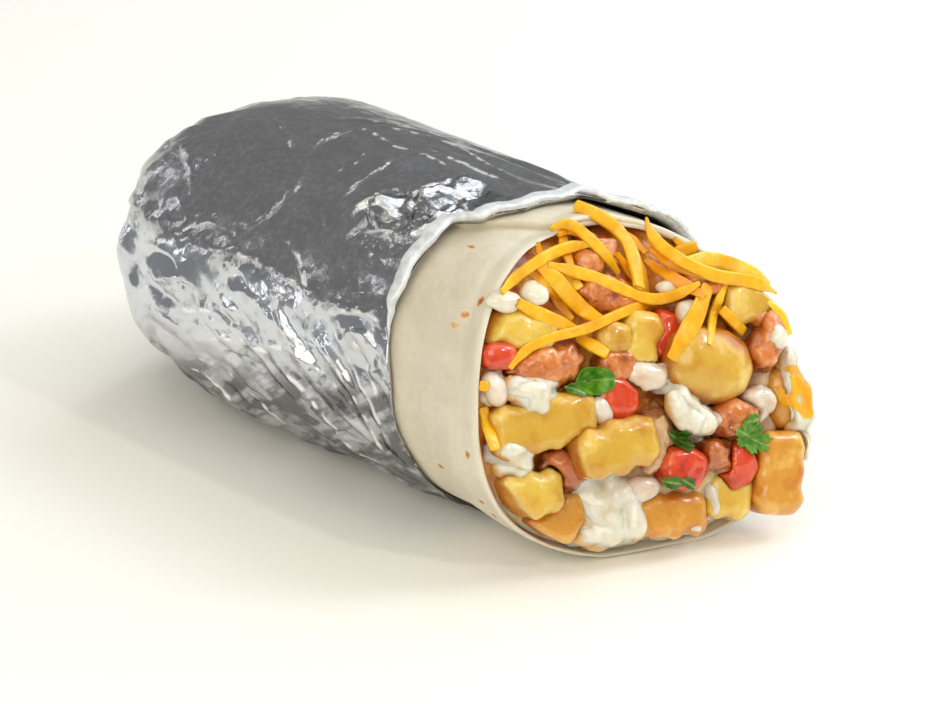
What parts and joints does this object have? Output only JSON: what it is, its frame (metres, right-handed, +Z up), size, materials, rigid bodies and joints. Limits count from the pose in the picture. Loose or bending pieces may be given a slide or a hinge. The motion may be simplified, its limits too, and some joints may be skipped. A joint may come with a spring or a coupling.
{
  "type": "burrito",
  "caption": "Rolled flour tortilla lying on its side, potato, chicken, tomato and grated cheese showing at its slanted open end, its rear two thirds wrapped in crumpled foil.",
  "frame": {"origin": "on the resting plane, under the middle of the whole burrito's box", "axes": "+X along the roll from its closed foil end to its open mouth, +Z up, so the slanted mouth faces towards +X, -Y and up"},
  "size_m": [0.1705, 0.0866, 0.073],
  "materials": {
    "foil": "crumpled kitchen foil, bright side out, creased all over",
    "tortilla": "soft floury flatbread with a few toasted brown spots",
    "filling": "moist mixed filling between the larger pieces",
    "cheese": "grated hard cheese, slightly oily, partly melted",
    "potato": "fried crinkle-cut potato, golden, soft sheen",
    "chicken": "grilled seasoned chicken, moist, browned edges",
    "tomato": "diced ripe tomato, wet",
    "onion": "diced onion, translucent, wet",
    "cream": "thick sour cream, glossy",
    "herb": "chopped fresh leaf, slightly waxy"
  },
  "bodies": {
    "root": {"foil_wrap": "foil", "tortilla": "tortilla", "filling_core": "filling", "grated_cheese": "cheese", "potato_round": "potato", "fry_front": "potato", "fry_long": "potato", "fry_upright": "potato", "fry_upper_left": "potato", "fry_low_left": "potato", "fry_upper_right": "potato", "potato_right": "potato", "fry_right": "potato", "fry_low_right": "potato", "fry_low": "potato", "fry_bottom_left": "potato", "chicken_left": "chicken", "chicken_fork": "chicken", "chicken_low": "chicken", "chicken_pale": "chicken", "chicken_right": "chicken", "chicken_dark": "chicken", "chicken_middle": "chicken", "chicken_high": "chicken", "chicken_upper": "chicken", "tomato_low": "tomato", "tomato_middle": "tomato", "tomato_right": "tomato", "tomato_upper": "tomato", "onion_middle": "onion", "onion_right": "onion", "onion_left": "onion", "onion_low": "onion", "cream_drip": "cream", "cream_left": "cream", "cream_low_left": "cream", "cream_pool": "cream", "cream_edge": "cream"}
  },
  "joints": []
}
